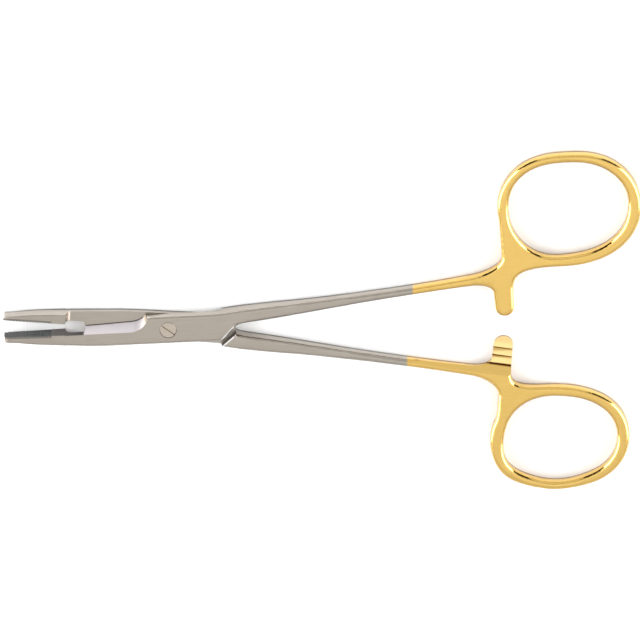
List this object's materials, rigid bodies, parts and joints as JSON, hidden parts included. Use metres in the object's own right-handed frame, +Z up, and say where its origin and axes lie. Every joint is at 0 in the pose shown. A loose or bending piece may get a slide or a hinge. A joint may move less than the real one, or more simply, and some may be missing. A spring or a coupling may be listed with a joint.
{
  "type": "needle holder",
  "caption": "Surgical needle holder with suture-scissor blades behind serrated jaws, screw lap joint, toothed ratchet bars and gold-plated ring handles.",
  "frame": {"origin": "on the pivot axis, at the underside of the lap joint", "axes": "+X towards the finger rings, +Y from the lower ring to the upper ring in the plane of the instrument, +Z up from the underside to the screw head"},
  "size_m": [0.1405, 0.0784, 0.0046],
  "materials": {
    "arm_steel": "satin steel at the jaws and joint, satin gold plating from the middle of the shanks to the rings",
    "screw_steel": "satin",
    "insert_carbide": "dark matt hard metal with cross serration"
  },
  "bodies": {
    "upper_half": {"upper_arm": "arm_steel", "lower_jaw_insert": "insert_carbide"},
    "lower_half": {"lower_arm": "arm_steel", "upper_jaw_insert": "insert_carbide", "pivot_screw": "screw_steel"}
  },
  "joints": [
    {"name": "screw_joint", "type": "hinge", "parent": "upper_half", "child": "lower_half", "pos_m": [0, 0, 0], "axis": [0, 0, -1], "range_deg": [-6, 30]}
  ]
}
